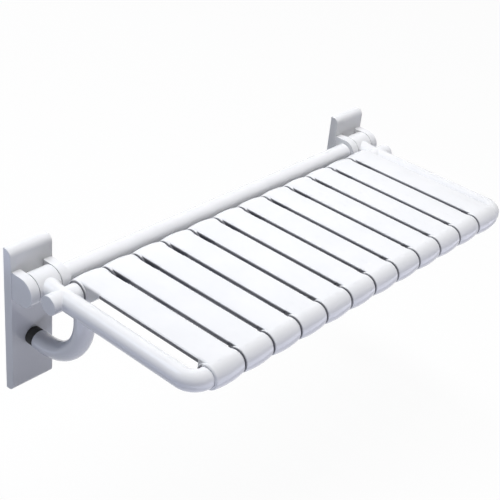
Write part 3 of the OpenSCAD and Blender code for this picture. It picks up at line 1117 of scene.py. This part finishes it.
@dataclass
class Deck:
    """The moulded slats, each with a sleeve at both ends.

    Heights are measured from the centre line of the tubes, and the reach from the rear tube
    towards the front.

    Attributes:
        layout: Places of the seat.
        board_w: Width of a board.
        notch_w: Width where a board runs into its sleeves.
        crown_rise: Rise of the crown over the sleeve's width.
        board_edge: Radius of the boards' rolled edges.
        sleeve_edge: Radius of the sleeves' edges.
        bore_r: Radius of the sleeves' bores.
        skirt_low: Height of the skirts' lower edges.
        rear_notch: Reach at which the rear notch ends.
        front_notch: Length of the front notch.
        block_l: Reach of the solid block in front of the rear sleeve.
        gusset_l: Reach of the flat underside of the gusset.
        gusset_low: Height of that underside.
        front_low: Height of the front block's underside.
        wall: Thickness of the boards.
        rib: Thickness of the ribs.
        rows: Number of rows of pockets.
        lip: Rounding of the small edges.
        pocket_r: Radius of the pockets' corners.
        taper: Half the length over which a notch widens to the board.
        ring_shares: Stations of the board inside a sleeve, as shares of its middle radius.
    """

    layout: Layout
    board_w: float = 56.0 * MM
    notch_w: float = 54.0 * MM
    crown_rise: float = 2.8 * MM
    board_edge: float = 4.0 * MM
    sleeve_edge: float = 3.5 * MM
    bore_r: float = 16.65 * MM
    skirt_low: float = 13.6 * MM
    rear_notch: float = 49 * MM
    front_notch: float = 20 * MM
    block_l: float = 25 * MM
    gusset_l: float = 31.5 * MM
    gusset_low: float = -2.0 * MM
    front_low: float = 6.0 * MM
    wall: float = 3.2 * MM
    rib: float = 2.4 * MM
    rows: int = 4
    lip: float = 0.6 * MM
    pocket_r: float = 2.5 * MM
    taper: float = 1.5 * MM
    ring_shares: tuple[float, ...] = (0.0, 0.35, 0.6, 0.8, 0.93)

    @property
    def nodes(self) -> list[str]:
        """Names of the slats' nodes, from the left."""
        names = sorted(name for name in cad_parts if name.startswith("slat_"))
        return [name for name in names if name[5:].isdigit()]

    @property
    def sleeve_w(self) -> float:
        """Width over the sleeves."""
        low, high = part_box(self.nodes[0])
        return high.x - low.x

    @property
    def crown_top(self) -> float:
        """Height of the crown."""
        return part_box(self.nodes[0])[1].z - self.layout.pivot_z

    @property
    def length(self) -> float:
        """Distance between the two tubes."""
        return self.layout.rear_y - self.layout.front_y

    @property
    def crown_r(self) -> float:
        """Radius of the crown."""
        half = self.sleeve_w / 2
        return (half * half + self.crown_rise * self.crown_rise) / (2 * self.crown_rise)

    @property
    def sleeve_r(self) -> float:
        """Radius of the sleeves at their edges."""
        return self.crown_top - self.crown_rise

    @property
    def ring_mid(self) -> float:
        """Radius halfway through a sleeve's wall."""
        return (self.bore_r + self.sleeve_r) / 2

    def _roll_centre(self, width: float, roll: float) -> Point:
        """Centre of the right rolled edge, which touches the crown from below."""
        x = width / 2 - roll
        return x, self.crown_top - self.crown_r + math.sqrt((self.crown_r - roll) ** 2 - x * x)

    def _crown(self, width: float, roll: float) -> list[Point]:
        """Crowned top with rolled edges.

        Args:
            width: Width over the rolled edges.
            roll: Radius of those edges.

        Returns:
            The points from the right side over to the left.
        """
        base = self.crown_top - self.crown_r
        x, z = self._roll_centre(width, roll)
        tilt = math.degrees(math.atan2(z - base, x))
        right = arc((x, z), roll, 0.0, tilt, EDGE_STEPS)
        top = arc((0.0, base), self.crown_r, tilt, 180.0 - tilt, CROWN_STEPS)[1:-1]
        return right + top + [(-px, pz) for px, pz in reversed(right)]

    @staticmethod
    def _feet(half: float, low: float, start: float, radius: float) -> list[Point]:
        """Lower part of a section, from the left side over two rounded feet to the right."""
        left = [(-half, start, 0.0), (-half, low, radius)]
        return rounded(left + [(-x, z, r) for x, z, r in reversed(left)], 3)

    def _board_ring(self, reach: float, width: float, low: float) -> list[Place]:
        """Cross-section of the board at one reach."""
        feet = self._feet(width / 2, low, low + 2 * self.lip, self.lip)
        return [(x, -reach, z) for x, z in self._crown(width, self.board_edge) + feet]

    def _board(self) -> Solid:
        """The board with its skirts, from inside one sleeve to inside the other."""
        turns = []
        for share in self.ring_shares:
            low = self.ring_mid * math.sqrt(1 - share * share)
            turns.append((self.ring_mid * share, self.notch_w, max(low, self.skirt_low)))
        widening = []
        for share in np.linspace(0.0, 1.0, 7):
            smooth = share * share * (3 - 2 * share)
            width = self.notch_w + (self.board_w - self.notch_w) * smooth
            widening.append(((2 * share - 1) * self.taper, width, self.skirt_low))
        stations = turns + [(self.rear_notch + s, width, low) for s, width, low in widening]
        front = self.length - self.front_notch
        stations += [(front - s, width, low) for s, width, low in reversed(widening)]
        stations += [(self.length - s, width, low) for s, width, low in reversed(turns)]
        return loft(np.array([self._board_ring(*station) for station in stations]))

    def _sleeve(self) -> Solid:
        """One barrel shaped sleeve round the X axis."""
        _, edge_z = self._roll_centre(self.sleeve_w, self.sleeve_edge)
        flat = edge_z - self.bore_r
        inner = self._feet(self.sleeve_w / 2, self.bore_r, self.bore_r + 0.7 * flat, flat / 2)
        return lathe_x(self._crown(self.sleeve_w, self.sleeve_edge) + inner)

    def _block(self, corners: Sequence[Point], start: float) -> Solid:
        """A solid under the board that starts inside a sleeve.

        Args:
            corners: Reach and height of its lower corners and of its top corner.
            start: Height at which its underside leaves the sleeve.

        Returns:
            The solid, for a sleeve round the X axis.
        """
        first = math.degrees(math.asin(start / self.ring_mid))
        *low, top = corners

        def outline(inset: float) -> list[Point]:
            """Side view of the solid, with rounded lower corners."""
            back = arc((0.0, 0.0), self.ring_mid, 50.0, first, 14)
            ring = [(*back[-1], 0.0), *((x, z, 2 * self.lip) for x, z in low), (*top, 0.0)]
            inside = rounded(ring, 4)
            return [(-x, z + inset) for x, z in back[:-1] + inside]

        half = self.notch_w / 2 - self.lip / 4
        return prism(outline, -half, half, self.lip)

    def _rear_block(self) -> Solid:
        """The gusset that leads from the rear sleeve to the board at 45 degrees."""
        root = self.skirt_low + self.wall / 2
        rise = root - self.gusset_low
        return self._block(
            [(self.gusset_l, self.gusset_low), (self.gusset_l + rise, root)], self.gusset_low
        )

    def _front_block(self) -> Solid:
        """The short block behind the front sleeve."""
        root = self.skirt_low + self.wall / 2
        turn = Matrix.Translation((0.0, -self.length, 0.0)) @ Matrix.Scale(-1, 4, (0.0, 1.0, 0.0))
        corners = [(self.sleeve_r, self.front_low), (self.sleeve_r, root)]
        return self._block(corners, self.front_low).placed(turn)

    def _pockets(self) -> list[Solid]:
        """The pockets that leave the ribs standing under the board."""
        last = self.length - self.sleeve_r - self.wall
        step = (last - self.block_l + self.rib) / self.rows
        near, far = self.rib / 2, self.notch_w / 2 - self.wall
        base = self.crown_top - self.crown_r - self.wall
        top = base + math.sqrt(self.crown_r ** 2 - near ** 2)
        edge = base + math.sqrt(self.crown_r ** 2 - far ** 2)
        pockets = []
        for row in range(self.rows):
            start = self.block_l + row * step
            for side in (-1, 1):
                rings = []
                for draft, low in ((self.lip, None), (0.0, self.gusset_low - MM)):
                    first, end = start + draft, start + step - self.rib - draft
                    x0, x1 = side * (near + draft), side * (far - draft)
                    corners = [(x0, first), (x1, first), (x1, end), (x0, end)]
                    ring = []
                    for x, reach in rounded([(*corner, self.pocket_r) for corner in corners]):
                        roof = top + (edge - top) * (abs(x) - near) / (far - near)
                        ring.append((x, -reach, roof if low is None else low))
                    rings.append(ring)
                pockets.append(loft(np.array(rings)))
        return pockets

    def _pattern(self) -> bpy.types.Mesh:
        """The mesh of one finished slat, with the middle of its rear tube at the origin."""
        front = Matrix.Translation((0.0, -self.length, 0.0))
        solids = []
        for solid in (self._board(), self._rear_block()):
            part = Piece.joined("part", [solid]).boolean("DIFFERENCE", self._pockets())
            mesh = part.object.data
            points = np.array([vertex.co for vertex in mesh.vertices])
            solids.append(Solid(points, [tuple(face.vertices) for face in mesh.polygons]))
            bpy.data.meshes.remove(mesh)
        solids += [self._sleeve(), self._sleeve().placed(front), self._front_block()]
        whole = Piece.joined("pattern", solids).smooth()
        mesh = whole.object.data
        bpy.data.objects.remove(whole.object)
        return mesh

    def build(self) -> None:
        """Makes every slat from one pattern, and dresses the screws."""
        pattern = self._pattern()
        for node in self.nodes:
            low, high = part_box(node)
            place = ((low.x + high.x) / 2, self.layout.rear_y, self.layout.pivot_z)
            piece = Piece(f"{node}_moulding", pattern.copy())
            piece.object.data.transform(Matrix.Translation(place))
            piece.dress(SLAT_NYLON, Body.SEAT, node)
        bpy.data.meshes.remove(pattern)
        dress_node("slat_screws", STAINLESS)


@dataclass(frozen=True)
class Softbox:
    """One soft rectangular lamp that the camera doesn't see.

    Attributes:
        name: Name of the lamp.
        place: Where its middle hangs.
        target: Point that it faces.
        width: Its size across.
        height: Its size along the other edge.
        glow: Brightness of its face, where 1 is as bright as the white background.
        tint: Colour of its light.
        mirrored: Whether gloss shows the lamp itself.
    """

    name: str
    place: Place
    target: Place
    width: float
    height: float
    glow: float
    tint: Colour = WHITE
    mirrored: bool = True

    def hang(self) -> None:
        """Hangs the lamp in the scene."""
        data = bpy.data.lights.new(self.name, "AREA")
        data.shape = "RECTANGLE"
        data.size = self.width
        data.size_y = self.height
        data.energy = self.glow * math.pi * self.width * self.height
        data.color = self.tint
        lamp = bpy.data.objects.new(self.name, data)
        lamp.location = self.place
        aim = Vector(self.target) - Vector(self.place)
        lamp.rotation_euler = aim.to_track_quat("-Z", "Y").to_euler()
        lamp.visible_camera = False
        lamp.visible_glossy = self.mirrored
        bpy.context.scene.collection.objects.link(lamp)


@dataclass
class Studio:
    """Floor, lamps, world and camera.

    Attributes:
        eye: Place of the camera.
        yaw: Turn of the view from +Y towards +X, in degrees.
        pitch: Tilt of the view below the horizon, in degrees.
        roll: Roll of the camera, in degrees.
        focal_px: Focal length in pixels of the photograph's frame.
        centre_px: Point of the frame that the lens looks straight at.
        frame_px: Width and height of the frame in pixels.
        floor_z: Height of the floor.
        floor_half: Half its length and width.
        floor_lit: Its colour where it throws light back at the seat.
        floor_paper: Its colour where the camera sees it shaded.
        floor_glow: Share of plain white in what the camera sees of it.
        board_z: Height of the reflector boards, just above it.
        room: Colour of the light from all round.
        room_glow: Strength of that light.
    """

    eye: Place = (-1.31155, -1.19204, 1.03639)
    yaw: float = 52.07
    pitch: float = 31.81
    roll: float = 6.90
    focal_px: float = 1121.8
    centre_px: Point = (270.0, 268.0)
    frame_px: float = 500.0
    floor_z: float = -0.42
    floor_half: float = 12.0
    floor_lit: Colour = (0.05, 0.052, 0.06)
    floor_paper: Colour = (0.95, 0.95, 0.95)
    floor_glow: float = 0.96
    board_z: float = -0.40
    room: Colour = (0.80, 0.84, 1.0)
    room_glow: float = 0.04

    def camera(self) -> None:
        """Sets the camera at the photograph's angle."""
        a, e, r = (math.radians(v) for v in (self.yaw, self.pitch, self.roll))
        ahead = Vector((math.cos(e) * math.sin(a), math.cos(e) * math.cos(a), -math.sin(e)))
        right = Vector((math.cos(a), -math.sin(a), 0.0))
        up = right.cross(ahead)
        across = right * math.cos(r) + up * math.sin(r)
        upward = up * math.cos(r) - right * math.sin(r)
        data = bpy.data.cameras.new("camera")
        data.sensor_width = 36.0
        data.lens = self.focal_px * data.sensor_width / self.frame_px
        data.shift_x = 0.5 - self.centre_px[0] / self.frame_px
        data.shift_y = self.centre_px[1] / self.frame_px - 0.5
        camera = bpy.data.objects.new("camera", data)
        turn = Matrix((across, upward, -ahead)).transposed().to_4x4()
        camera.matrix_world = Matrix.Translation(self.eye) @ turn
        bpy.context.scene.collection.objects.link(camera)
        bpy.context.scene.camera = camera

    def floor(self) -> None:
        """Lays a plain pale floor that keeps the seat's soft shadow."""
        half = self.floor_half
        corners = [(-half, -half), (half, -half), (half, half), (-half, half)]
        mesh = bpy.data.meshes.new("floor")
        mesh.from_pydata([(x, y, self.floor_z) for x, y in corners], [], [(0, 1, 2, 3)])
        floor = bpy.data.objects.new("floor", mesh)
        bpy.context.scene.collection.objects.link(floor)
        material = bpy.data.materials.new("floor_paper")
        shader = Shader(material)
        lit = shader.plain("ShaderNodeBsdfDiffuse", self.floor_lit)
        paper = shader.plain("ShaderNodeBsdfDiffuse", self.floor_paper)
        glow = shader.plain("ShaderNodeEmission", WHITE, Strength=1.0)
        shown = shader.mixed(self.floor_glow, paper, glow)
        surface = shader.mixed(self._seen(shader), lit, shown)
        shader.node("ShaderNodeOutputMaterial", {}, {"Surface": surface})
        mesh.materials.append(material)

    @staticmethod
    def _seen(shader: Shader) -> Signal:
        """Tells rays that show the background from rays that carry light.

        Args:
            shader: Node tree of the floor or the world.

        Returns:
            1 for rays that show it, and 0 for the others.
        """
        path = shader.node("ShaderNodeLightPath", {}, {})
        camera = shader.signal(path, "Is Camera Ray")
        glossy = shader.signal(path, "Is Glossy Ray")
        through = shader.signal(path, "Is Transmission Ray")
        return camera.at_least(glossy).at_least(through)

    def world(self) -> None:
        """Fills the room with an even pale light, and shows white behind the seat."""
        world = bpy.data.worlds.new("room")
        bpy.context.scene.world = world
        shader = Shader(world)
        light = shader.plain("ShaderNodeBackground", self.room, Strength=self.room_glow)
        white = shader.plain("ShaderNodeBackground", WHITE, Strength=1.0)
        surface = shader.mixed(self._seen(shader), light, white)
        shader.node("ShaderNodeOutputWorld", {}, {"Surface": surface})

    def lamps(self) -> None:
        """Hangs the soft lamps, and lays two reflector boards that face up."""
        seat = (0.0, -0.2, 0.0)
        for name, place, width, height, glow, tint, mirrored in (
            ("overhead", (0.0, 0.05, 2.8), 0.6, 2.2, 22.0, WHITE, False),
            ("back_left", (-1.4, 1.2, 2.3), 1.2, 1.2, 2.8, (0.70, 0.81, 1.0), True),
            ("back_fill", (0.3, 3.0, 0.5), 4.0, 1.4, 1.0, (0.90, 0.94, 1.0), False),
        ):
            Softbox(name, place, seat, width, height, glow, tint, mirrored).hang()
        for name, x, y, width, height, glow, tint in (
            ("front_board", 0.0, -1.7, 3.6, 1.8, 2.1, (0.84, 0.86, 1.0)),
            ("left_board", -1.5, -0.3, 1.2, 2.4, 1.4, (0.74, 0.80, 1.0)),
        ):
            Softbox(name, (x, y, self.board_z), (x, y, 1.0), width, height, glow, tint).hang()

    def build(self) -> None:
        """Sets up the whole studio."""
        self.camera()
        self.floor()
        self.world()
        self.lamps()
        bpy.context.scene.view_settings.view_transform = "Standard"


def main() -> None:
    """Builds the studio and every piece of the seat."""
    logging.basicConfig(level=logging.INFO, format="%(message)s")
    Studio().build()
    layout = Layout.from_frame()
    BackTube(layout).build()
    SeatFrame(layout).build()
    for side in Side:
        WallBracket(layout, side).build()
        HingeBarrel(layout, side).build()
        SupportLeg(layout, side).build()
    Deck(layout).build()


if __name__ == "__main__":
    main()
